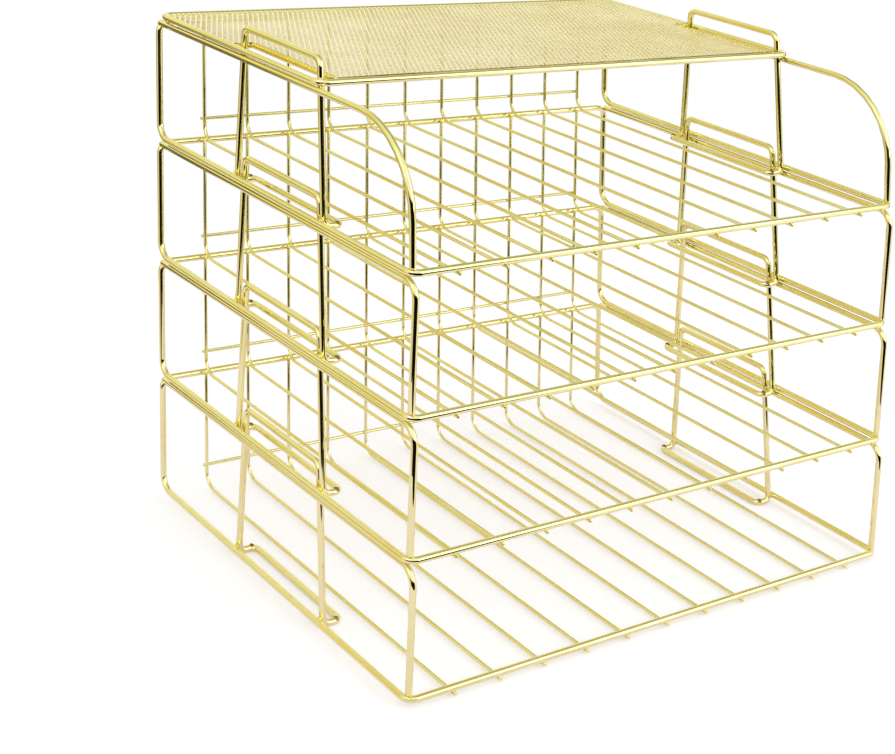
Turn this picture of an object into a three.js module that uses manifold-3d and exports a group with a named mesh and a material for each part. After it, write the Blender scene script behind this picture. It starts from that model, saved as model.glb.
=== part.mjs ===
import * as THREE from 'three';
import { mergeVertices } from 'three/addons/utils/BufferGeometryUtils.js';
import Module from 'manifold-3d';

// A rack of stackable wire trays for paper, with a mesh lid on the top tray.
// Millimetres, +Z up, +Y to the rear. The origin is the middle of the
// footprint, on the surface that the rack stands on.

// Trays, bottom one first
const TRAYS = ['bottom', 'second', 'third', 'top'];
const TRAY_WIDTH = 312.4;
const TRAY_DEPTH = 242;
const TIER_HEIGHT = 66.6;

// Round wire, and the gap between pieces that touch
const HEAVY_WIRE = 3.4;
const THIN_WIRE = 1.85;
const CONTACT_GAP = 0.3;

// Frame wire: front floor wire, side floor rails, rear posts and rear top wire
const FRONT_CORNER_RADIUS = 5.2;
const REAR_FLOOR_RADIUS = 8.2;
const REAR_TOP_RADIUS = 5.6;

// Side wires: top rail and front post. A post leans forward by this much from
// its foot to its top, and the top tray's leans back and starts in a wide arc.
const FRONT_TOP_RADIUS = 8.2;
const FRONT_POST_LEAN = 3.1;
const TOP_TRAY_ARC_RADIUS = 41;
const TOP_TRAY_POST_LEAN = -1;

// Leg loops, which lock a tray to the one above it
const LOOP_FOOT_SPREAD = 83.5;
const LOOP_TOP_SPREAD = 71.8;
const LOOP_LEAN = 1.5;
const LOOP_RISE = 10.5;
const LOOP_TOP_RADIUS = 4.6;
const LOOP_FOOT_RADIUS = 3.6;
const FOOT_INSET = 13.3;
const FOOT_STANDOFF = 0.35;

// Floor slats, bent up at the rear, and the cross wire welded behind them
const SLAT_COUNT = 11;
const SLAT_SIDE_GAP = 25;
const SLAT_NUB = 0.3;
const SLAT_REAR_RADIUS = 8.2;
const SLAT_OVERRUN = 0.6;
const CROSS_WIRE_HEIGHT = 8.7;
const CROSS_WIRE_OVERHANG = 1.5;
const WELD_SINK = 0.3;

// Lid: border wire, slot wires and mesh sheet
const LID_SIDE_INSET = 1;
const LID_REAR_INSET = 1;
const LID_CORNER_RADIUS = 6.2;
const LID_LEG_CLEARANCE = 1.2;
const LID_SLOT_CLEARANCE = 1.9;
const LID_SLOT_INSET = 12.8;
const LID_SLOT_RADIUS = 3.6;
const MESH_THICKNESS = 0.6;
const MESH_RISE = 0.9;
const MESH_HEM = 3;
const MESH_PITCH_X = 28;
const MESH_PITCH_Y = 16;
const MESH_STRAND = 2.5;

// Fineness of the wires' surface
const HEAVY_SIDES = 8;
const THIN_SIDES = 6;
const MIN_BEND_STEPS = 3;
const BEND_STEP_LENGTH = 6;

// Heights above a tray's floor rails, and insets from its side rails
const HEAVY_RADIUS = HEAVY_WIRE / 2;
const THIN_RADIUS = THIN_WIRE / 2;
const RAIL_STEP = HEAVY_WIRE + CONTACT_GAP;
const TOP_RAIL_Z = TIER_HEIGHT - RAIL_STEP;
const SLAT_Z = -(HEAVY_RADIUS + CONTACT_GAP + THIN_RADIUS);
const SLAT_UPRIGHT_Y = TRAY_DEPTH + SLAT_Z;
const SLAT_UNDERSIDE_Z = SLAT_Z - flatRadius(THIN_RADIUS, THIN_SIDES);
const FOOT_Z = SLAT_UNDERSIDE_Z - FOOT_STANDOFF + flatRadius(HEAVY_RADIUS, HEAVY_SIDES);
const LOOP_TOP_Z = TIER_HEIGHT + LOOP_RISE;
const SIDE_X = TRAY_WIDTH / 2;
const OUTER_SLAT_X = SIDE_X - SLAT_SIDE_GAP;
const SLAT_PITCH = (2 * OUTER_SLAT_X) / (SLAT_COUNT - 1);
const CORNER_INSET = FRONT_CORNER_RADIUS * (1 - Math.SQRT1_2);
const BUTT_GAP = HEAVY_RADIUS + CONTACT_GAP;

// Where the trays stand
const FLOOR_Z = flatRadius(HEAVY_RADIUS, HEAVY_SIDES) - FOOT_Z;
const FRONT_REACH = Math.max(SLAT_NUB, FRONT_POST_LEAN - CORNER_INSET);
const FRONT_Y = -(TRAY_DEPTH - FRONT_REACH) / 2;

const wasm = await Module();
wasm.setup();

const wireGold = new THREE.MeshStandardMaterial({ color: 0xe6cf73, roughness: 0.16, metalness: 1 });
const slatGold = new THREE.MeshStandardMaterial({ color: 0xe0c566, roughness: 0.2, metalness: 1 });
const meshGold = new THREE.MeshStandardMaterial({ color: 0xe8d680, roughness: 0.3, metalness: 1 });

// Corner radius of a regular polygon with the same area as a round wire
function cornerRadius(radius, sides) {
  const turn = (2 * Math.PI) / sides;
  return radius * Math.sqrt(turn / Math.sin(turn));
}

// Distance from the middle of that polygon to its flat sides
function flatRadius(radius, sides) {
  return cornerRadius(radius, sides) * Math.cos(Math.PI / sides);
}

// A wire's centre line, held as stops that have a point and a direction.
// The section is turned by half a side, so that a flat side faces down.
class WirePath extends THREE.Curve {
  constructor(stops, sides) {
    super();
    this.stops = stops;
    this.sides = sides;
  }

  stopAt(share) {
    return this.stops[Math.round(share * (this.stops.length - 1))];
  }

  getPointAt(share, target = new THREE.Vector3()) {
    return target.copy(this.stopAt(share).point);
  }

  getTangentAt(share, target = new THREE.Vector3()) {
    return target.copy(this.stopAt(share).direction);
  }

  computeFrenetFrames(segments, closed) {
    const frames = super.computeFrenetFrames(segments, closed);
    frames.tangents.forEach((tangent, i) => {
      frames.normals[i].applyAxisAngle(tangent, Math.PI / this.sides);
      frames.binormals[i].applyAxisAngle(tangent, Math.PI / this.sides);
    });
    return frames;
  }
}

// Stops round one bend, from the straight run before it to the one after
function bendStops(before, corner, after, radius) {
  const incoming = corner.clone().sub(before).normalize();
  const outgoing = after.clone().sub(corner).normalize();
  const turn = incoming.angleTo(outgoing);
  const axis = incoming.clone().cross(outgoing).normalize();
  const start = corner.clone().addScaledVector(incoming, -radius * Math.tan(turn / 2));
  const centre = start.clone().addScaledVector(axis.clone().cross(incoming), radius);
  const steps = Math.max(MIN_BEND_STEPS, Math.ceil((radius * turn) / BEND_STEP_LENGTH));
  return Array.from({ length: steps + 1 }, (_, i) => {
    const angle = (turn * i) / steps;
    return {
      point: start.clone().sub(centre).applyAxisAngle(axis, angle).add(centre),
      direction: incoming.clone().applyAxisAngle(axis, angle),
    };
  });
}

// A path through corners given as [x, y, z, bend radius]; its two ends have no radius
function wirePath(corners, sides) {
  const points = corners.map(([x, y, z]) => new THREE.Vector3(x, y, z));
  const last = points.length - 1;
  const stops = points.flatMap((point, i) => {
    if (i === 0) {
      return [{ point, direction: points[1].clone().sub(point).normalize() }];
    }
    if (i === last) {
      return [{ point, direction: point.clone().sub(points[last - 1]).normalize() }];
    }
    return bendStops(points[i - 1], point, points[i + 1], corners[i][3]);
  });
  return new WirePath(stops, sides);
}

// A wire with two cut ends
function openWire(corners, radius, sides) {
  const path = wirePath(corners, sides);
  const reach = cornerRadius(radius, sides);
  const section = new THREE.Shape(Array.from({ length: sides }, (_, i) => {
    const angle = (2 * Math.PI * i) / sides;
    return new THREE.Vector2(reach * Math.cos(angle), reach * Math.sin(angle));
  }));
  return new THREE.ExtrudeGeometry(section, { extrudePath: path, steps: path.stops.length - 1 });
}

// A wire that closes on itself; its last corner is its first point again
function closedWire(corners, radius, sides) {
  const path = wirePath([...corners, corners[0]], sides);
  return new THREE.TubeGeometry(path, path.stops.length - 1, cornerRadius(radius, sides), sides, true);
}

function heavyOpenWire(corners) {
  return openWire(corners, HEAVY_RADIUS, HEAVY_SIDES);
}

function heavyClosedWire(corners) {
  return closedWire(corners, HEAVY_RADIUS, HEAVY_SIDES);
}

// A closed geometry as a solid that can be joined and cut
function solidOf(geometry) {
  geometry.deleteAttribute('normal');
  geometry.deleteAttribute('uv');
  const merged = mergeVertices(geometry);
  return new wasm.Manifold(new wasm.Mesh({
    numProp: 3,
    vertProperties: merged.attributes.position.array,
    triVerts: new Uint32Array(merged.index.array),
  }));
}

function geometryOf(solid) {
  const { vertProperties, triVerts } = solid.getMesh();
  const geometry = new THREE.BufferGeometry();
  geometry.setAttribute('position', new THREE.BufferAttribute(vertProperties, 3));
  geometry.setIndex(new THREE.BufferAttribute(triVerts, 1));
  geometry.computeVertexNormals();
  return geometry;
}

function named(name, geometry, material) {
  const mesh = new THREE.Mesh(geometry, material);
  mesh.name = name;
  return mesh;
}

// Frame wire, from the middle of the front wire round to it again
function frameWire() {
  return heavyClosedWire([
    [0, 0, 0],
    [SIDE_X, 0, 0, FRONT_CORNER_RADIUS],
    [SIDE_X, TRAY_DEPTH, 0, REAR_FLOOR_RADIUS],
    [SIDE_X, TRAY_DEPTH, TOP_RAIL_Z, REAR_TOP_RADIUS],
    [-SIDE_X, TRAY_DEPTH, TOP_RAIL_Z, REAR_TOP_RADIUS],
    [-SIDE_X, TRAY_DEPTH, 0, REAR_FLOOR_RADIUS],
    [-SIDE_X, 0, 0, FRONT_CORNER_RADIUS],
  ]);
}

// Side wire, from the rear post to the front post's foot on the frame's corner.
// Its side is 1 on the right and -1 on the left.
function sideWire(side, frontRadius, postLean) {
  const frontX = side * (SIDE_X - CORNER_INSET);
  return heavyOpenWire([
    [side * SIDE_X, TRAY_DEPTH - BUTT_GAP, TOP_RAIL_Z],
    [frontX, CORNER_INSET - postLean, TOP_RAIL_Z, frontRadius],
    [frontX, CORNER_INSET, BUTT_GAP],
  ]);
}

// Place of a loop's leg at a height above the floor rails; its end is 1 at the rear and -1 at the front
function legInset(z) {
  return RAIL_STEP + (LOOP_LEAN * (z - FOOT_Z)) / (LOOP_TOP_Z - FOOT_Z);
}

function legY(end, z) {
  const share = (z - FOOT_Z) / (LOOP_TOP_Z - FOOT_Z);
  const spread = LOOP_FOOT_SPREAD + (LOOP_TOP_SPREAD - LOOP_FOOT_SPREAD) * share;
  return (TRAY_DEPTH + end * spread) / 2;
}

// Leg loop, from the middle of its foot bar round to it again
function legLoop(side) {
  const footX = side * (SIDE_X - FOOT_INSET);
  const legFootX = side * (SIDE_X - legInset(FOOT_Z));
  const legTopX = side * (SIDE_X - legInset(LOOP_TOP_Z));
  return heavyClosedWire([
    [footX, TRAY_DEPTH / 2, FOOT_Z],
    [footX, legY(1, FOOT_Z), FOOT_Z, LOOP_FOOT_RADIUS],
    [legFootX, legY(1, FOOT_Z), FOOT_Z, LOOP_FOOT_RADIUS],
    [legTopX, legY(1, LOOP_TOP_Z), LOOP_TOP_Z, LOOP_TOP_RADIUS],
    [legTopX, legY(-1, LOOP_TOP_Z), LOOP_TOP_Z, LOOP_TOP_RADIUS],
    [legFootX, legY(-1, FOOT_Z), FOOT_Z, LOOP_FOOT_RADIUS],
    [footX, legY(-1, FOOT_Z), FOOT_Z, LOOP_FOOT_RADIUS],
  ]);
}

// Floor slats with their uprights, and the cross wire behind the uprights
function slatGrid() {
  const wires = Array.from({ length: SLAT_COUNT }, (_, i) => {
    const x = i * SLAT_PITCH - OUTER_SLAT_X;
    return openWire([
      [x, -HEAVY_RADIUS - SLAT_NUB, SLAT_Z],
      [x, SLAT_UPRIGHT_Y, SLAT_Z, SLAT_REAR_RADIUS],
      [x, SLAT_UPRIGHT_Y, TOP_RAIL_Z + SLAT_OVERRUN],
    ], THIN_RADIUS, THIN_SIDES);
  });
  const reach = OUTER_SLAT_X + CROSS_WIRE_OVERHANG;
  const crossY = SLAT_UPRIGHT_Y + THIN_WIRE - WELD_SINK;
  wires.push(openWire([
    [-reach, crossY, CROSS_WIRE_HEIGHT],
    [reach, crossY, CROSS_WIRE_HEIGHT],
  ], THIN_RADIUS, THIN_SIDES));
  return geometryOf(wires.map(solidOf).reduce((joined, wire) => joined.add(wire)));
}

// One tray, with its front floor wire on the group's X axis
function tray(name, frontRadius, postLean) {
  const group = new THREE.Group();
  group.add(
    named(`${name}_frame`, frameWire(), wireGold),
    named(`${name}_side_wire_left`, sideWire(-1, frontRadius, postLean), wireGold),
    named(`${name}_side_wire_right`, sideWire(1, frontRadius, postLean), wireGold),
    named(`${name}_loop_left`, legLoop(-1), wireGold),
    named(`${name}_loop_right`, legLoop(1), wireGold),
    named(`${name}_slats`, slatGrid(), slatGold),
  );
  return group;
}

// The lid's edges. It lies on the top tray's rails, one tier above its floor,
// with its front wire in front of the loops' front legs.
const LID_X = SIDE_X - LID_SIDE_INSET;
const LID_REAR_Y = TRAY_DEPTH - LID_REAR_INSET;
const LID_FRONT_Y = legY(-1, TIER_HEIGHT) - HEAVY_WIRE - LID_LEG_CLEARANCE;
const LID_SLOT_X = SIDE_X - LID_SLOT_INSET;
const LID_SLOT_REAR_Y = legY(1, TIER_HEIGHT) + HEAVY_WIRE + LID_SLOT_CLEARANCE;

function lidBorder() {
  return heavyClosedWire([
    [0, LID_FRONT_Y, 0],
    [LID_X, LID_FRONT_Y, 0, LID_CORNER_RADIUS],
    [LID_X, LID_REAR_Y, 0, LID_CORNER_RADIUS],
    [-LID_X, LID_REAR_Y, 0, LID_CORNER_RADIUS],
    [-LID_X, LID_FRONT_Y, 0, LID_CORNER_RADIUS],
  ]);
}

// Slot wire, from the border's front wire back and out to the border's side wire
function slotWire(side) {
  return heavyOpenWire([
    [side * LID_SLOT_X, LID_FRONT_Y + BUTT_GAP, 0],
    [side * LID_SLOT_X, LID_SLOT_REAR_Y, 0, LID_SLOT_RADIUS],
    [side * (LID_X - BUTT_GAP), LID_SLOT_REAR_Y, 0],
  ]);
}

// Mesh sheet inside the border and the slot wires, with a plain hem all round
function meshSheet() {
  const wideX = LID_X - BUTT_GAP;
  const narrowX = LID_SLOT_X - BUTT_GAP;
  const frontY = LID_FRONT_Y + BUTT_GAP;
  const slotY = LID_SLOT_REAR_Y + BUTT_GAP;
  const rearY = LID_REAR_Y - BUTT_GAP;
  const rounding = LID_CORNER_RADIUS - BUTT_GAP;
  const outline = new THREE.Shape();
  outline.moveTo(-narrowX, frontY);
  outline.lineTo(narrowX, frontY);
  outline.lineTo(narrowX, slotY);
  outline.lineTo(wideX, slotY);
  outline.absarc(wideX - rounding, rearY - rounding, rounding, 0, Math.PI / 2);
  outline.absarc(-wideX + rounding, rearY - rounding, rounding, Math.PI / 2, Math.PI);
  outline.lineTo(-wideX, slotY);
  outline.lineTo(-narrowX, slotY);
  outline.closePath();

  const openings = [];
  const flatDistance = (MESH_PITCH_X * MESH_PITCH_Y) / (2 * Math.hypot(MESH_PITCH_X, MESH_PITCH_Y));
  const opening = 1 - MESH_STRAND / 2 / flatDistance;
  const halfX = (MESH_PITCH_X / 2) * opening;
  const halfY = (MESH_PITCH_Y / 2) * opening;
  const rows = Math.ceil((2 * (rearY - frontY)) / MESH_PITCH_Y);
  const columns = Math.ceil(wideX / MESH_PITCH_X);
  for (let row = 1; row < rows; row += 1) {
    const y = frontY + MESH_HEM + (row * MESH_PITCH_Y) / 2;
    const limitX = y - halfY < slotY + MESH_HEM ? narrowX : wideX;
    for (let column = -columns; column <= columns; column += 1) {
      const x = (column + (row % 2) / 2) * MESH_PITCH_X;
      if (Math.abs(x) + halfX > limitX - MESH_HEM || y + halfY > rearY - MESH_HEM) {
        continue;
      }
      openings.push(new THREE.Shape([
        new THREE.Vector2(x - halfX, y),
        new THREE.Vector2(x, y - halfY),
        new THREE.Vector2(x + halfX, y),
        new THREE.Vector2(x, y + halfY),
      ]));
    }
  }
  const sheet = new THREE.ExtrudeGeometry(outline, {
    depth: MESH_THICKNESS,
    bevelEnabled: false,
    curveSegments: MIN_BEND_STEPS,
  });
  const cutters = new THREE.ExtrudeGeometry(openings, { depth: 2 * MESH_THICKNESS, bevelEnabled: false });
  cutters.translate(0, 0, -MESH_THICKNESS / 2);
  const net = geometryOf(solidOf(sheet).subtract(solidOf(cutters)));
  return net.translate(0, 0, MESH_RISE - MESH_THICKNESS / 2);
}

function lid() {
  const group = new THREE.Group();
  group.add(
    named('lid_border', lidBorder(), wireGold),
    named('lid_slot_wire_left', slotWire(-1), wireGold),
    named('lid_slot_wire_right', slotWire(1), wireGold),
    named('lid_mesh', meshSheet(), meshGold),
  );
  return group;
}

const rack = new THREE.Group();
TRAYS.forEach((name, level) => {
  const isTop = level === TRAYS.length - 1;
  const placed = isTop
    ? tray(name, TOP_TRAY_ARC_RADIUS, TOP_TRAY_POST_LEAN)
    : tray(name, FRONT_TOP_RADIUS, FRONT_POST_LEAN);
  placed.position.set(0, FRONT_Y, FLOOR_Z + level * TIER_HEIGHT);
  rack.add(placed);
});
const placedLid = lid();
placedLid.position.set(0, FRONT_Y, FLOOR_Z + TRAYS.length * TIER_HEIGHT);
rack.add(placedLid);

export default rack;
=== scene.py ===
import bpy
import math
from mathutils import Matrix, Vector


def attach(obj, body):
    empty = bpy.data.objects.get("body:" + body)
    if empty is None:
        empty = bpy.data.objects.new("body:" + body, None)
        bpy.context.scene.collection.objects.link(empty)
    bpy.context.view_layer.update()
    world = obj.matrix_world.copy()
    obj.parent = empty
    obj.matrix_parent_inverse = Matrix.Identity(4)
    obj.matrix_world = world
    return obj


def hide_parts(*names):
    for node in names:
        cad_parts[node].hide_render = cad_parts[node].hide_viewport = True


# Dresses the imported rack: smooth bent wires, slats, weld beads and a fine mesh
# lid in polished gold. Scene in metres, sizes in millimetres, +Z up, +Y to the
# rear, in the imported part's own place.

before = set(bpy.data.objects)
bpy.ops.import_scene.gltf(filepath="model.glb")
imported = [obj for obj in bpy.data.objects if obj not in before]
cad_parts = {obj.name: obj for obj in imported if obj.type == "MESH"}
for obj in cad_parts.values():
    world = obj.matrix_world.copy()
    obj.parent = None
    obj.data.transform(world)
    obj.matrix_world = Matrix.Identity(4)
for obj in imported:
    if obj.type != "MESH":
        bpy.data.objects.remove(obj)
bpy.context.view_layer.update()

MM = 0.001
TRAYS = ["bottom", "second", "third", "top"]
TOP_LEVEL = len(TRAYS) - 1

# Sizes of the rack in millimetres, the same as in the part's source
TRAY_WIDTH = 312.4
TRAY_DEPTH = 242
TIER_HEIGHT = 66.6
HEAVY_WIRE = 3.4
THIN_WIRE = 1.85
CONTACT_GAP = 0.3
FRONT_CORNER_RADIUS = 5.2
REAR_FLOOR_RADIUS = 8.2
REAR_TOP_RADIUS = 5.6
FRONT_TOP_RADIUS = 8.2
FRONT_POST_LEAN = 3.1
TOP_TRAY_ARC_RADIUS = 41
TOP_TRAY_POST_LEAN = -1
LOOP_FOOT_SPREAD = 83.5
LOOP_TOP_SPREAD = 71.8
LOOP_LEAN = 1.5
LOOP_RISE = 10.5
LOOP_TOP_RADIUS = 4.6
LOOP_FOOT_RADIUS = 3.6
FOOT_INSET = 13.3
SLAT_COUNT = 11
SLAT_SIDE_GAP = 25
SLAT_REAR_RADIUS = 8.2
SLAT_OVERRUN = 0.6
CROSS_WIRE_HEIGHT = 8.7
CROSS_WIRE_OVERHANG = 1.5
WELD_SINK = 0.3
LID_SIDE_INSET = 1
LID_REAR_INSET = 1
LID_CORNER_RADIUS = 6.2
LID_LEG_CLEARANCE = 1.2
LID_SLOT_CLEARANCE = 1.9
LID_SLOT_INSET = 12.8
LID_SLOT_RADIUS = 3.6

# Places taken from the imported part: the foot bars under a tray's rails, the
# bottom tray's rails over the floor, and its front wire
FOOT_Z = -2.5006
FLOOR_Z = 4.1559
FRONT_Y = -120.2115

# Sizes that only the dressed rack has, in millimetres: the slats are seated up
# into the wires that the solids stand clear of, and the feet have heat marks
SLAT_NUB = 0.1
SLAT_LIFT = 0.45
FOOT_MARK_STEP = 2.2
FOOT_MARK_LIFT = 1.0

# Sizes that follow from them
HEAVY_RADIUS = HEAVY_WIRE / 2
THIN_RADIUS = THIN_WIRE / 2
RAIL_STEP = HEAVY_WIRE + CONTACT_GAP
TOP_RAIL_Z = TIER_HEIGHT - RAIL_STEP
SLAT_Z = -(HEAVY_RADIUS + CONTACT_GAP + THIN_RADIUS)
SLAT_UPRIGHT_Y = TRAY_DEPTH + SLAT_Z
LOOP_TOP_Z = TIER_HEIGHT + LOOP_RISE
SIDE_X = TRAY_WIDTH / 2
OUTER_SLAT_X = SIDE_X - SLAT_SIDE_GAP
SLAT_PITCH = 2 * OUTER_SLAT_X / (SLAT_COUNT - 1)
CORNER_SHARE = 1 - math.sqrt(0.5)
CORNER_INSET = FRONT_CORNER_RADIUS * CORNER_SHARE
BUTT_GAP = HEAVY_RADIUS + CONTACT_GAP

# Fineness of the bent wires
HEAVY_SIDES = 20
THIN_SIDES = 12
BEND_STEPS = 8
SMOOTH_ANGLE = 50
CUT_RIM_SHARE = 0.35
STRAND_SIDES = 8

# In metres, as the operators take them
MERGE_DISTANCE = 0.00002
BEAD_UNEVENNESS = 0.00006

# Fine mesh of the lid, and its height above the border wire's middle
STRAND_WIDTH = 0.92
STRAND_THICKNESS = 0.5
STRAND_PITCH = 2.75
STRAND_ANGLE = 62
STRAND_LAYER_STEP = STRAND_THICKNESS * 0.2
MESH_Z = 0.9
# The dark strip of painted shade along the mesh's welded front edge: its radius, its lift and its
# step back from the front wire
SHADE_SEAM_RADIUS = 0.45
SHADE_SEAM_LIFT = 0.62
SHADE_SEAM_STEP = HEAVY_RADIUS * 0.8
HEM_LIFT = 0.15
SLOT_WIRE_RADIUS = HEAVY_RADIUS * 0.85


# The camera. The photograph was straightened after it was taken, so its
# uprights run parallel while its floor lines meet. The camera's axes lean for
# that: the lean sits in the parent's inverse, and the camera itself is plain.
def place_camera():
    right = (0.7854, -0.61122, 0.09779)
    up = (0.06806, 0.11725, 0.99077)
    back = (-0.53816, -0.75869, 0.36713)
    spot = (-0.57906, -0.74416, 0.45589)
    rows = [[right[i], up[i], back[i], spot[i]] for i in range(3)]
    lens = bpy.data.cameras.new("camera")
    lens.lens = 74.078
    lens.sensor_width = 36
    lens.clip_start = 0.05
    lens.clip_end = 60
    camera = bpy.data.objects.new("camera", lens)
    stand = bpy.data.objects.new("camera_stand", None)
    bpy.context.scene.collection.objects.link(camera)
    bpy.context.scene.collection.objects.link(stand)
    camera.parent = stand
    camera.matrix_parent_inverse = Matrix(rows + [[0, 0, 0, 1]])
    bpy.context.scene.camera = camera


place_camera()
bpy.context.scene.view_settings.view_transform = "Standard"


# A socket of a shader, with arithmetic on it. Numbers go through Math nodes,
# and colours through Mix.
class Value:
    def __init__(self, shader, socket):
        self.shader = shader
        self.socket = socket

    def maths(self, operation, *others):
        inputs = {i: other for i, other in enumerate((self,) + others)}
        return self.shader.node("ShaderNodeMath", {"operation": operation}, inputs)

    def __add__(self, other):
        return self.maths("ADD", other)

    __radd__ = __add__

    def __mul__(self, other):
        return self.maths("MULTIPLY", other)

    __rmul__ = __mul__

    def __sub__(self, other):
        return self.maths("SUBTRACT", other)

    def __rsub__(self, other):
        return self * -1 + other

    def __truediv__(self, other):
        return self.maths("DIVIDE", other)

    def absolute(self):
        return self.maths("ABSOLUTE")

    def larger(self, other):
        return self.maths("MAXIMUM", other)

    def ramp(self, low, high, to_low=0.0, to_high=1.0):
        settings = {"interpolation_type": "SMOOTHSTEP"}
        inputs = {
            "Value": self, "From Min": low, "From Max": high, "To Min": to_low, "To Max": to_high,
        }
        return self.shader.node("ShaderNodeMapRange", settings, inputs, "Result")

    # This value's mix of two colours: the first at 0, the second at 1
    def pick(self, first, second):
        settings = {"data_type": "RGBA"}
        inputs = {"Factor": self, 6: colour(first), 7: colour(second)}
        return self.shader.node("ShaderNodeMix", settings, inputs, 2)


def colour(entry):
    return entry if isinstance(entry, Value) else (*entry, 1)


# The nodes of one material or of the world
class Shader:
    def __init__(self, tree):
        self.tree = tree
        tree.nodes.clear()

    def node(self, kind, settings=None, inputs=None, output=0):
        made = self.tree.nodes.new(kind)
        for name, setting in (settings or {}).items():
            setattr(made, name, setting)
        for name, entry in (inputs or {}).items():
            if isinstance(entry, Value):
                self.tree.links.new(entry.socket, made.inputs[name])
            else:
                made.inputs[name].default_value = entry
        return Value(self, made.outputs[output]) if made.outputs else made

    def noise(self, place, scale, detail, roughness=0.5):
        inputs = {"Vector": place, "Scale": scale, "Detail": detail, "Roughness": roughness}
        return self.node("ShaderNodeTexNoise", None, inputs)

    def place(self):
        return self.node("ShaderNodeTexCoord", output="Object")

    def ray(self, kind):
        return self.node("ShaderNodeLightPath", output=f"Is {kind} Ray")


def new_finish(name):
    material = bpy.data.materials.new(name)
    material.use_nodes = True
    return material, Shader(material.node_tree)


# Polished gold plating on drawn wire: a slow drift of tint between pale and
# deep, a haze that takes the roughness from smooth to hazy, and the faint
# ripple of plated steel. Noise scales are per metre.
def gold_finish(name, pale, deep, smooth, hazy, ripple):
    material, shader = new_finish(name)
    place = shader.place()
    drift = shader.noise(place, 28, 2)
    mottle = shader.noise(place, 420, 3)
    haze = shader.noise(place, 95, 4, 0.6)
    tint = (drift * 0.7 + mottle * 0.3).ramp(0.35, 0.65)
    grain = shader.noise(place, 1400, 2)
    bump = shader.node("ShaderNodeBump", None, {
        "Strength": ripple, "Distance": 0.1 * MM, "Height": grain * 0.5 + mottle,
    })
    surface = shader.node("ShaderNodeBsdfPrincipled", None, {
        "Base Color": tint.pick(deep, pale),
        "Metallic": 1.0,
        "Roughness": haze.ramp(0.35, 0.7, smooth, hazy),
        "Normal": bump,
    })
    shader.node("ShaderNodeOutputMaterial", None, {"Surface": surface})
    return material


wire_finish = gold_finish(
    "polished_gold_wire", pale=(0.88, 0.80, 0.39), deep=(0.83, 0.745, 0.32),
    smooth=0.03, hazy=0.08, ripple=0.02)
slat_finish = gold_finish(
    "polished_gold_slat", pale=(0.87, 0.80, 0.37), deep=(0.81, 0.73, 0.29),
    smooth=0.13, hazy=0.24, ripple=0.02)
weld_finish = gold_finish(
    "gold_weld_bead", pale=(0.90, 0.80, 0.26), deep=(0.74, 0.60, 0.13),
    smooth=0.14, hazy=0.30, ripple=0.4)
# Dark gold of heat-marked welds, also used as painted shade on the strip along the lid mesh's
# front edge
scorched_and_shade_finish = gold_finish(
    "scorched_weld_and_painted_shade", pale=(0.36, 0.27, 0.09), deep=(0.10, 0.06, 0.02),
    smooth=0.22, hazy=0.45, ripple=0.5)
mesh_finish = gold_finish(
    "gold_mesh", pale=(0.94, 0.86, 0.49), deep=(0.88, 0.785, 0.385),
    smooth=0.15, hazy=0.28, ripple=0.1)
hem_finish = gold_finish(
    "gold_mesh_hem", pale=(0.93, 0.81, 0.24), deep=(0.80, 0.63, 0.12),
    smooth=0.18, hazy=0.34, ripple=0.6)


# Modelling helpers. An operator acts on what is selected, so each starts clear.
def clear_selection():
    bpy.ops.object.select_all(action="DESELECT")


def edit_all():
    bpy.ops.object.mode_set(mode="EDIT")
    bpy.ops.mesh.select_all(action="SELECT")


# Ends the modelling of the active piece: its place goes into the mesh and its
# faces outward, and it gets its name and finish
def settled(name, finish):
    if bpy.context.mode != "OBJECT":
        bpy.ops.object.mode_set(mode="OBJECT")
    piece = bpy.context.object
    bpy.ops.object.transform_apply(location=True, rotation=True, scale=True)
    edit_all()
    bpy.ops.mesh.normals_make_consistent(inside=False)
    bpy.ops.object.mode_set(mode="OBJECT")
    bpy.ops.object.shade_smooth_by_angle(angle=math.radians(SMOOTH_ANGLE))
    piece.name = piece.data.name = name
    piece.data.materials.clear()
    if finish:
        piece.data.materials.append(finish)
    return piece


def active_only(piece):
    clear_selection()
    piece.select_set(True)
    bpy.context.view_layer.objects.active = piece


# A copy with its own mesh, moved by millimetres, or mirrored from right to left
def copied(piece, name, shift=(0, 0, 0), mirrored=False, size=(1, 1, 1)):
    active_only(piece)
    bpy.ops.object.duplicate()
    twin = bpy.context.object
    twin.name = twin.data.name = name
    twin.scale = (-size[0] if mirrored else size[0], size[1], size[2])
    twin.location = [step * MM for step in shift]
    bpy.ops.object.transform_apply(location=True, rotation=True, scale=True)
    if mirrored:
        edit_all()
        bpy.ops.mesh.normals_make_consistent(inside=False)
        bpy.ops.object.mode_set(mode="OBJECT")
    return twin


def joined(pieces, name):
    active_only(pieces[0])
    for piece in pieces:
        piece.select_set(True)
    bpy.ops.object.join()
    whole = bpy.context.object
    whole.name = whole.data.name = name
    return whole


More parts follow.
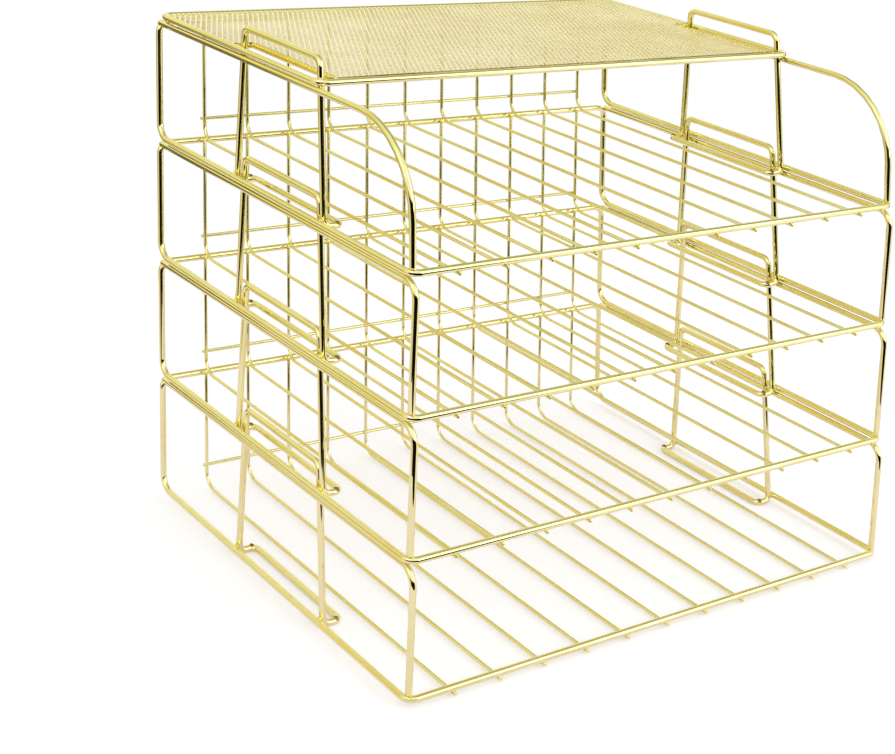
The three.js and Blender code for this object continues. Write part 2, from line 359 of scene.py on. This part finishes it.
# A wire bent from a round section. A corner is x, y, z and its bend radius in
# millimetres, and an end has no radius. Each straight is an extrusion and each
# bend a spin. A closed wire ends where it starts.
def bent_wire(name, corners, radius, sides, finish, closed=False):
    stops = [Vector(corner[:3]) * MM for corner in corners]
    bends = [corner[3] * MM if len(corner) > 3 else 0 for corner in corners]
    if closed:
        stops.append(stops[0].copy())
        bends.append(0)
    turned = Vector((0, 0, 1)).rotation_difference(stops[1] - stops[0]).to_euler()
    clear_selection()
    bpy.ops.mesh.primitive_circle_add(
        vertices=sides, radius=radius * MM, fill_type="NOTHING",
        location=stops[0], rotation=turned)
    edit_all()
    reached = stops[0]
    for before, corner, after, bend in zip(stops, stops[1:], stops[2:], bends[1:]):
        incoming = (corner - before).normalized()
        outgoing = (after - corner).normalized()
        turn = incoming.angle(outgoing)
        axis = incoming.cross(outgoing).normalized()
        start = corner - incoming * bend * math.tan(turn / 2)
        centre = start + axis.cross(incoming) * bend
        bpy.ops.mesh.extrude_region_move(TRANSFORM_OT_translate={"value": start - reached})
        bpy.ops.mesh.spin(steps=BEND_STEPS, angle=-turn, center=centre, axis=axis)
        reached = corner + outgoing * bend * math.tan(turn / 2)
    bpy.ops.mesh.extrude_region_move(TRANSFORM_OT_translate={"value": stops[-1] - reached})
    bpy.ops.mesh.select_all(action="SELECT")
    bpy.ops.mesh.remove_doubles(threshold=MERGE_DISTANCE)
    if not closed:
        round_the_cuts(radius)
    return settled(name, finish)


# Closes the two cut ends of the wire in edit mode and rounds their rims
def round_the_cuts(radius):
    bpy.ops.mesh.select_mode(type="EDGE")
    bpy.ops.mesh.select_all(action="DESELECT")
    bpy.ops.mesh.select_non_manifold()
    bpy.ops.mesh.edge_split(type="EDGE")
    bpy.ops.mesh.fill_holes(sides=0)
    bpy.ops.mesh.select_all(action="SELECT")
    bpy.ops.mesh.remove_doubles(threshold=MERGE_DISTANCE)
    bpy.ops.mesh.select_all(action="DESELECT")
    bpy.ops.mesh.select_mode(type="FACE")
    bpy.ops.mesh.select_face_by_sides(number=4, type="GREATER")
    bpy.ops.mesh.region_to_loop()
    bpy.ops.mesh.bevel(offset=radius * MM * CUT_RIM_SHARE, segments=2, affect="EDGES")
    bpy.ops.mesh.select_mode(type="VERT")


def heavy_wire(name, corners, closed=False):
    return bent_wire(name, corners, HEAVY_RADIUS, HEAVY_SIDES, wire_finish, closed)


def thin_wire(name, corners):
    return bent_wire(name, corners, THIN_RADIUS, THIN_SIDES, slat_finish)


# Places on a leg loop at a height above the floor rails. The end is 1 for the
# rear leg and -1 for the front leg.
def leg_share(z):
    return (z - FOOT_Z) / (LOOP_TOP_Z - FOOT_Z)


def leg_inset(z):
    return RAIL_STEP + LOOP_LEAN * leg_share(z)


def leg_y(end, z):
    spread = LOOP_FOOT_SPREAD + (LOOP_TOP_SPREAD - LOOP_FOOT_SPREAD) * leg_share(z)
    return (TRAY_DEPTH + end * spread) / 2


# A tray's own places, moved to where the tray of that level stands
def shifted(corners, level):
    rise = FLOOR_Z + level * TIER_HEIGHT
    return [(x, y + FRONT_Y, z + rise, *bend) for x, y, z, *bend in corners]


# The wires of the bottom tray. The other trays get copies.
def model_frame_wire():
    return heavy_wire("bottom_frame_wire", shifted([
        (0, 0, 0),
        (SIDE_X, 0, 0, FRONT_CORNER_RADIUS),
        (SIDE_X, TRAY_DEPTH, 0, REAR_FLOOR_RADIUS),
        (SIDE_X, TRAY_DEPTH, TOP_RAIL_Z, REAR_TOP_RADIUS),
        (-SIDE_X, TRAY_DEPTH, TOP_RAIL_Z, REAR_TOP_RADIUS),
        (-SIDE_X, TRAY_DEPTH, 0, REAR_FLOOR_RADIUS),
        (-SIDE_X, 0, 0, FRONT_CORNER_RADIUS),
    ], 0), closed=True)


def model_side_wire(name, level, front_radius, lean):
    front_x = SIDE_X - CORNER_INSET
    return heavy_wire(name, shifted([
        (SIDE_X, TRAY_DEPTH - BUTT_GAP, TOP_RAIL_Z),
        (front_x, CORNER_INSET - lean, TOP_RAIL_Z, front_radius),
        (front_x, CORNER_INSET, BUTT_GAP),
    ], level))


def model_leg_loop():
    foot_x = SIDE_X - FOOT_INSET
    leg_foot_x = SIDE_X - leg_inset(FOOT_Z)
    leg_top_x = SIDE_X - leg_inset(LOOP_TOP_Z)
    return heavy_wire("bottom_leg_loop_right", shifted([
        (foot_x, TRAY_DEPTH / 2, FOOT_Z),
        (foot_x, leg_y(1, FOOT_Z), FOOT_Z, LOOP_FOOT_RADIUS),
        (leg_foot_x, leg_y(1, FOOT_Z), FOOT_Z, LOOP_FOOT_RADIUS),
        (leg_top_x, leg_y(1, LOOP_TOP_Z), LOOP_TOP_Z, LOOP_TOP_RADIUS),
        (leg_top_x, leg_y(-1, LOOP_TOP_Z), LOOP_TOP_Z, LOOP_TOP_RADIUS),
        (leg_foot_x, leg_y(-1, FOOT_Z), FOOT_Z, LOOP_FOOT_RADIUS),
        (foot_x, leg_y(-1, FOOT_Z), FOOT_Z, LOOP_FOOT_RADIUS),
    ], 0), closed=True)


def model_slat():
    return thin_wire("bottom_slat_1", shifted([
        (-OUTER_SLAT_X, -HEAVY_RADIUS - SLAT_NUB, SLAT_Z + SLAT_LIFT),
        (-OUTER_SLAT_X, SLAT_UPRIGHT_Y, SLAT_Z + SLAT_LIFT, SLAT_REAR_RADIUS),
        (-OUTER_SLAT_X, SLAT_UPRIGHT_Y, TOP_RAIL_Z + SLAT_OVERRUN),
    ], 0))


def model_cross_wire():
    reach = OUTER_SLAT_X + CROSS_WIRE_OVERHANG
    cross_y = SLAT_UPRIGHT_Y + THIN_WIRE - WELD_SINK
    return thin_wire("bottom_cross_wire", shifted([
        (-reach, cross_y, CROSS_WIRE_HEIGHT),
        (reach, cross_y, CROSS_WIRE_HEIGHT),
    ], 0))


# A weld bead: a small ball, squashed and made uneven
def model_bead():
    clear_selection()
    bpy.ops.mesh.primitive_uv_sphere_add(segments=10, ring_count=6, radius=MM, location=(0, 0, 0))
    edit_all()
    bpy.ops.transform.vertex_random(offset=BEAD_UNEVENNESS, seed=4)
    bpy.ops.mesh.vertices_smooth(factor=0.3)
    return settled("weld_bead", weld_finish)


# Weld beads of one tray: places in the tray, and half sizes
def tray_welds():
    rear_butt_y = TRAY_DEPTH - HEAVY_RADIUS - CONTACT_GAP / 2
    for i in range(SLAT_COUNT):
        x = i * SLAT_PITCH - OUTER_SLAT_X
        yield (x, 0, -HEAVY_RADIUS - CONTACT_GAP / 2), (1.5, 1.1, 0.7)
        yield (x, rear_butt_y, TOP_RAIL_Z), (1.3, 0.6, 1.3)
        yield (x, SLAT_UPRIGHT_Y + THIN_RADIUS, CROSS_WIRE_HEIGHT), (1.1, 0.45, 1.1)
    for side in (-1, 1):
        for end in (-1, 1):
            yield (side * (SIDE_X - leg_inset(0) / 2), leg_y(end, 0), 0), (0.9, 1.7, 1.7)
        yield (side * SIDE_X, rear_butt_y, TOP_RAIL_Z), (1.8, 0.9, 1.8)
        front_x = side * (SIDE_X - CORNER_INSET)
        yield (front_x, CORNER_INSET, HEAVY_RADIUS + CONTACT_GAP / 2), (1.85, 1.85, 0.9)


# Heat marks where the foot of a leg loop is closed and welded
def foot_welds():
    mark_x = SIDE_X - FOOT_INSET + FOOT_MARK_STEP
    for side in (-1, 1):
        for end in (-1, 1):
            spot = (side * mark_x, leg_y(end, FOOT_Z), FOOT_Z + FOOT_MARK_LIFT)
            yield spot, (1.5, 1.75, 1.25)


# Copies of the bead, joined into one piece of the level that they are on
def beads_at(bead, name, places, level):
    spots = shifted([spot for spot, size in places], level)
    sizes = [size for spot, size in places]
    return joined([copied(bead, name, spot, size=size) for spot, size in zip(spots, sizes)], name)


def placed(piece, body, node):
    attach(piece, body)
    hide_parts(node)
    return piece


# A piece of the bottom tray, or its copy for a tray further up
def on_tray(piece, part, level):
    if level == 0:
        return piece
    return copied(piece, f"{TRAYS[level]}_{part}", (0, 0, level * TIER_HEIGHT))


bead = model_bead()
frame_wire = model_frame_wire()
side_wire = model_side_wire("bottom_rail_right", 0, FRONT_TOP_RADIUS, FRONT_POST_LEAN)
arched_side_wire = model_side_wire(
    "top_rail_right", TOP_LEVEL, TOP_TRAY_ARC_RADIUS, TOP_TRAY_POST_LEAN)
leg_loop = model_leg_loop()
slat = model_slat()
cross_wire = model_cross_wire()
welds = beads_at(bead, "bottom_weld_beads", list(tray_welds()), 0)
foot_marks = beads_at(bead, "bottom_foot_welds", list(foot_welds()), 0)
foot_marks.data.materials[0] = scorched_and_shade_finish

for level, tray in enumerate(TRAYS):
    body = f"{tray}_tray"
    slats = f"{tray}_slats"
    placed(on_tray(frame_wire, "frame_wire", level), body, f"{tray}_frame")
    loop = on_tray(leg_loop, "leg_loop_right", level)
    placed(loop, body, f"{tray}_loop_right")
    twin = copied(loop, f"{tray}_leg_loop_left", mirrored=True)
    placed(twin, body, f"{tray}_loop_left")
    rail = arched_side_wire if level == TOP_LEVEL else on_tray(side_wire, "rail_right", level)
    placed(rail, body, f"{tray}_side_wire_right")
    twin = copied(rail, f"{tray}_rail_left", mirrored=True)
    placed(twin, body, f"{tray}_side_wire_left")
    placed(on_tray(welds, "weld_beads", level), body, f"{tray}_frame")
    placed(on_tray(foot_marks, "foot_welds", level), body, f"{tray}_loop_right")
    placed(on_tray(cross_wire, "cross_wire", level), body, slats)
    for i in range(SLAT_COUNT):
        shift = (i * SLAT_PITCH, 0, level * TIER_HEIGHT)
        piece = copied(slat, f"{tray}_slat_{i + 1}", shift) if level or i else slat
        placed(piece, body, slats)

# Lid: its edges in the tray's own places
LID_X = SIDE_X - LID_SIDE_INSET
LID_REAR_Y = TRAY_DEPTH - LID_REAR_INSET
LID_FRONT_Y = leg_y(-1, TIER_HEIGHT) - HEAVY_WIRE - LID_LEG_CLEARANCE
LID_SLOT_X = SIDE_X - LID_SLOT_INSET
LID_SLOT_REAR_Y = leg_y(1, TIER_HEIGHT) + HEAVY_WIRE + LID_SLOT_CLEARANCE
LID_LEVEL = TOP_LEVEL + 1
LID_Z = FLOOR_Z + LID_LEVEL * TIER_HEIGHT
STRAND_LENGTH = 2 * LID_X * 1.25
STRANDS_REACH = 2 * LID_X * 0.6


def model_lid_border():
    return heavy_wire("lid_border_wire", shifted([
        (0, LID_FRONT_Y, 0),
        (LID_X, LID_FRONT_Y, 0, LID_CORNER_RADIUS),
        (LID_X, LID_REAR_Y, 0, LID_CORNER_RADIUS),
        (-LID_X, LID_REAR_Y, 0, LID_CORNER_RADIUS),
        (-LID_X, LID_FRONT_Y, 0, LID_CORNER_RADIUS),
    ], LID_LEVEL), closed=True)


def model_slot_wire():
    return bent_wire("lid_slot_edge_right", shifted([
        (LID_SLOT_X, LID_FRONT_Y + BUTT_GAP, 0),
        (LID_SLOT_X, LID_SLOT_REAR_Y, 0, LID_SLOT_RADIUS),
        (LID_X - BUTT_GAP, LID_SLOT_REAR_Y, 0),
    ], LID_LEVEL), SLOT_WIRE_RADIUS, HEAVY_SIDES, hem_finish)


# Trims the active piece in edit mode to one side of an upright plane
def trim(point, outward):
    bpy.ops.mesh.select_all(action="SELECT")
    bpy.ops.mesh.bisect(
        plane_co=[place * MM for place in point], plane_no=outward,
        use_fill=True, clear_outer=True)


# Mesh strands that run one way over a panel of the lid: a flat strand with
# rounded edges, longer than the panel needs and repeated past it, and trimmed
# to the panel's edges. The strands that lean the other way lie a little lower.
def model_strands(name, angle, low, high, corner_cuts):
    middle_y = (LID_FRONT_Y + LID_REAR_Y) / 2 + FRONT_Y
    turn = math.radians(angle)
    along = Vector((math.cos(turn), math.sin(turn), 0))
    across = Vector((-math.sin(turn), math.cos(turn), 0))
    count = 2 * math.ceil(STRANDS_REACH / STRAND_PITCH)
    layer_z = MESH_Z if angle > 0 else MESH_Z - STRAND_LAYER_STEP
    first = Vector((0, middle_y, LID_Z + layer_z)) - across * STRAND_PITCH * count / 2
    clear_selection()
    bpy.ops.mesh.primitive_cylinder_add(
        vertices=STRAND_SIDES, radius=STRAND_WIDTH / 2 * MM, depth=STRAND_LENGTH * MM,
        location=first * MM,
        rotation=Vector((0, 0, 1)).rotation_difference(along).to_euler())
    strand = bpy.context.object
    edit_all()
    bpy.ops.transform.resize(
        value=(1, 1, STRAND_THICKNESS / STRAND_WIDTH), orient_type="GLOBAL",
        center_override=first * MM)
    bpy.ops.object.mode_set(mode="OBJECT")
    bpy.ops.object.transform_apply(location=True, rotation=True, scale=True)
    array = strand.modifiers.new("strands", "ARRAY")
    array.use_relative_offset = False
    array.use_constant_offset = True
    array.constant_offset_displace = across * STRAND_PITCH * MM
    array.count = count + 1
    bpy.ops.object.modifier_apply(modifier=array.name)
    edit_all()
    trim((low[0], 0, 0), (-1, 0, 0))
    trim((high[0], 0, 0), (1, 0, 0))
    trim((0, low[1], 0), (0, -1, 0))
    trim((0, high[1], 0), (0, 1, 0))
    for point, outward in corner_cuts:
        trim(point, outward)
    return settled(name, mesh_finish)


def model_mesh():
    rear_y = LID_REAR_Y + FRONT_Y
    slot_y = LID_SLOT_REAR_Y + FRONT_Y
    front_y = LID_FRONT_Y + FRONT_Y
    clip = LID_CORNER_RADIUS * CORNER_SHARE
    cuts = [((side * (LID_X - clip), rear_y - clip, 0), (side, 1, 0)) for side in (-1, 1)]
    rear_panel = (-LID_X, slot_y), (LID_X, rear_y), cuts
    front_panel = (-LID_SLOT_X, front_y), (LID_SLOT_X, slot_y), []
    layers = []
    for angle in (-STRAND_ANGLE, STRAND_ANGLE):
        layers.append(model_strands("rear", angle, *rear_panel))
        layers.append(model_strands("front", angle, *front_panel))
    return joined(layers, "lid_fine_mesh")


# Dark weld spots of the lid, as places and half sizes: behind the front wire
# beside each slot, at the slot's rear corner, and where its edge wire ends at
# the border
def lid_welds():
    butt_x = LID_X - HEAVY_RADIUS - CONTACT_GAP / 2
    for side in (-1, 1):
        yield (side * (LID_SLOT_X + 4), LID_FRONT_Y + HEAVY_RADIUS, 0.9), (2.4, 1.0, 1.2)
        yield (side * (LID_SLOT_X + 1.4), LID_SLOT_REAR_Y - 0.8, 0.7), (1.7, 1.2, 1.0)
        yield (side * butt_x, LID_SLOT_REAR_Y, 0), (0.9, 1.8, 1.7)


# The strands' ends, folded round the slot's edge wire at every second strand
def hem_folds():
    step = STRAND_PITCH / math.cos(math.radians(STRAND_ANGLE)) / 2
    start = LID_FRONT_Y + HEAVY_WIRE
    reach = LID_SLOT_REAR_Y - LID_SLOT_RADIUS - start
    for i in range(int(reach / step) + 1):
        for side in (-1, 1):
            yield (side * LID_SLOT_X, start + i * step, HEM_LIFT), (1.95, 0.85, 1.8)


# A thin dark strip along the mesh's cut front edge behind the front wire: painted shade for the
# dark line between the mesh and the wire, shaped as the seam where that edge is welded down
def model_mesh_shade_seam():
    shade_seam_y = LID_FRONT_Y + SHADE_SEAM_STEP
    return bent_wire("lid_mesh_shade_seam", shifted([
        (-LID_SLOT_X, shade_seam_y, MESH_Z + SHADE_SEAM_LIFT),
        (LID_SLOT_X, shade_seam_y, MESH_Z + SHADE_SEAM_LIFT),
    ], LID_LEVEL), SHADE_SEAM_RADIUS, THIN_SIDES, scorched_and_shade_finish)


placed(model_lid_border(), "lid", "lid_border")
slot_edge = placed(model_slot_wire(), "lid", "lid_slot_wire_right")
twin = copied(slot_edge, "lid_slot_edge_left", mirrored=True)
placed(twin, "lid", "lid_slot_wire_left")
placed(model_mesh(), "lid", "lid_mesh")
lid_beads = beads_at(bead, "lid_weld_beads", list(lid_welds()), LID_LEVEL)
lid_beads.data.materials[0] = scorched_and_shade_finish
placed(lid_beads, "lid", "lid_border")
folds = beads_at(bead, "lid_mesh_hem", list(hem_folds()), LID_LEVEL)
folds.data.materials[0] = hem_finish
placed(folds, "lid", "lid_mesh")
# The dark strip of painted shade along the mesh's front edge
placed(model_mesh_shade_seam(), "lid", "lid_mesh")
bpy.data.objects.remove(bead)


# A pale sheet on the floor under the rack, in metres. It ends in front of the
# rack and its front left corner is cut away, so that the upper wires mirror
# the dark of the studio past its edge. The lower wires mirror the sheet, a
# little pinker than the camera sees it.
SHEET_LEFT, SHEET_RIGHT = -0.36, 0.56
SHEET_FRONT, SHEET_REAR = -0.238, 0.5
SHEET_CUT_SPOT = (-0.3, -0.245, 0)
SHEET_CUT_OUTWARD = (-0.9, -0.44, 0)
SHEET_COLOUR = (0.86, 0.85, 0.88)
MIRRORED_SHEET_TONE = (0.98, 0.76, 2.1)

# What lifts the sheet to white: the first for the camera and in the wires'
# reflections, and the second more for the camera alone
SHEET_GLOW = 0.15
SHEET_GLOW_TO_CAMERA = 0.12


def lay_floor():
    middle = ((SHEET_LEFT + SHEET_RIGHT) / 2, (SHEET_FRONT + SHEET_REAR) / 2, 0)
    clear_selection()
    bpy.ops.mesh.primitive_plane_add(size=1, location=middle)
    edit_all()
    bpy.ops.transform.resize(value=(SHEET_RIGHT - SHEET_LEFT, SHEET_REAR - SHEET_FRONT, 1))
    bpy.ops.mesh.bisect(
        plane_co=SHEET_CUT_SPOT, plane_no=SHEET_CUT_OUTWARD, clear_outer=True)
    floor = settled("floor", None)
    material, shader = new_finish("pale_floor")
    to_camera = shader.ray("Camera")
    direct = to_camera.larger(shader.ray("Transmission"))
    shown = direct.larger(shader.ray("Glossy"))
    matt = shader.node("ShaderNodeBsdfDiffuse", None, {"Color": colour(SHEET_COLOUR)})
    glow = shader.node("ShaderNodeEmission", None, {
        "Color": direct.pick(MIRRORED_SHEET_TONE, (1, 1, 1)),
        "Strength": shown * SHEET_GLOW + to_camera * SHEET_GLOW_TO_CAMERA,
    })
    both = shader.node("ShaderNodeAddShader", None, {0: matt, 1: glow})
    shader.node("ShaderNodeOutputMaterial", None, {"Surface": both})
    floor.data.materials.append(material)


# The room's plain light on what isn't polished
ROOM_LIGHT = (0.85, 0.85, 0.85)

# The studio in the wires' reflections: the colour of each part of it, and the
# level directions that its lower parts lie in
FRONT_GLOW, REAR_GLOW = (1.10, 1.12, 1.07), (0.89, 0.92, 0.84)
OVERHEAD_GLOW = (0.44, 0.47, 0.36)
REAR_RIGHT_GLOW = (1.09, 1.05, 0.98)
REAR_LEFT_GLOW = (1.00, 0.95, 0.46)
WARM_GLOW, WARM_SHARE = (0.97, 0.72, 0.14), 0.85
SKIRTING_GLOW = (0.36, 0.32, 0.15)
LEFT_FLOOR_GLOW = (0.80, 0.74, 0.64)
REAR_FLOOR_GLOW = (0.20, 0.17, 0.08)
FRONT_FLOOR_GLOW = (0.006, 0.003, 0.002)
TO_LEFT_FLOOR = (-0.990, 0.139)
TO_REAR_FLOOR = (0.574, 0.819)
TO_FRONT_FLOOR = (-0.399, -0.917)


# A soft white room. The camera sees it plain white. The polished wires mirror
# it with a dark floor in front, which gives them their dark lines, an olive
# ceiling and a yellow and brown rear.
def light_the_room():
    world = bpy.data.worlds.new("studio")
    bpy.context.scene.world = world
    world.use_nodes = True
    shader = Shader(world.node_tree)
    # A direction's x, y and z. Each share below is 1 inside its part of the
    # studio and falls smoothly to 0 at the part's edge.
    way = {"Vector": shader.node("ShaderNodeTexCoord", output="Generated")}
    x, y, z = (shader.node("ShaderNodeSeparateXYZ", None, way, axis) for axis in "XYZ")
    level = (1 - z * z).maths("SQRT")

    def turned_to(direction, low, high):
        return ((x * direction[0] + y * direction[1]) / level).ramp(low, high)

    below = 1 - z.ramp(-0.02, 0.08)
    low_ahead = 1 - z.ramp(0.12, 0.22)
    behind = (x * -0.6 + y * 0.8).ramp(0.35, 0.95)
    rear_left = behind * (1 - (z - 0.1).absolute().ramp(0.15, 0.62))
    skirting = behind * (1 - (z + 0.1).absolute().ramp(0.08, 0.22))
    rear_right = (x * 0.50 + y * 0.86 + z * 0.08).ramp(0.84, 0.97)
    overhead = (x * 0.538 + y * 0.2 + z * 0.82).ramp(0.78, 0.96)
    warm = y.ramp(0.45, 0.60) * (1 - y.ramp(0.66, 0.74))
    warm = warm * (1 - x.ramp(-0.40, -0.15)) * (1 - z.ramp(0.55, 0.80))
    gloss = y.ramp(-0.2, 0.5).pick(FRONT_GLOW, REAR_GLOW)
    for share, glow in (
            (overhead, OVERHEAD_GLOW),
            (rear_right, REAR_RIGHT_GLOW),
            (rear_left, REAR_LEFT_GLOW),
            (warm * WARM_SHARE, WARM_GLOW),
            (skirting, SKIRTING_GLOW),
            (below * turned_to(TO_LEFT_FLOOR, 0.76, 0.92), LEFT_FLOOR_GLOW),
            (below * turned_to(TO_REAR_FLOOR, 0.45, 0.70), REAR_FLOOR_GLOW),
            (low_ahead * turned_to(TO_FRONT_FLOOR, 0.50, 0.60), FRONT_FLOOR_GLOW)):
        gloss = share.pick(gloss, glow)
    seen = shader.ray("Glossy").pick(ROOM_LIGHT, gloss)
    seen = shader.ray("Camera").larger(shader.ray("Transmission")).pick(seen, (1, 1, 1))
    background = shader.node("ShaderNodeBackground", None, {"Color": seen, "Strength": 1.0})
    shader.node("ShaderNodeOutputWorld", None, {"Surface": background})


# A softbox at a place, aimed at a target, with its sides in metres and its
# power in watts
def hang_lamp(name, spot, target, width, height, power):
    lamp = bpy.data.lights.new(name, "AREA")
    lamp.shape = "RECTANGLE"
    lamp.size = width
    lamp.size_y = height
    lamp.energy = power
    holder = bpy.data.objects.new(name, lamp)
    bpy.context.scene.collection.objects.link(holder)
    holder.location = spot
    aim = Vector(target) - Vector(spot)
    holder.rotation_mode = "QUATERNION"
    holder.rotation_quaternion = aim.to_track_quat("-Z", "Y")


lay_floor()
light_the_room()
hang_lamp(
    "key_softbox", spot=(1.1, -1.75, 0.95), target=(0, 0, 0.12),
    width=1.8, height=1.6, power=13.5)
hang_lamp(
    "fill_softbox", spot=(-1.7, -0.9, 1.7), target=(0, 0, 0.1),
    width=1.0, height=1.0, power=5)

clear_selection()
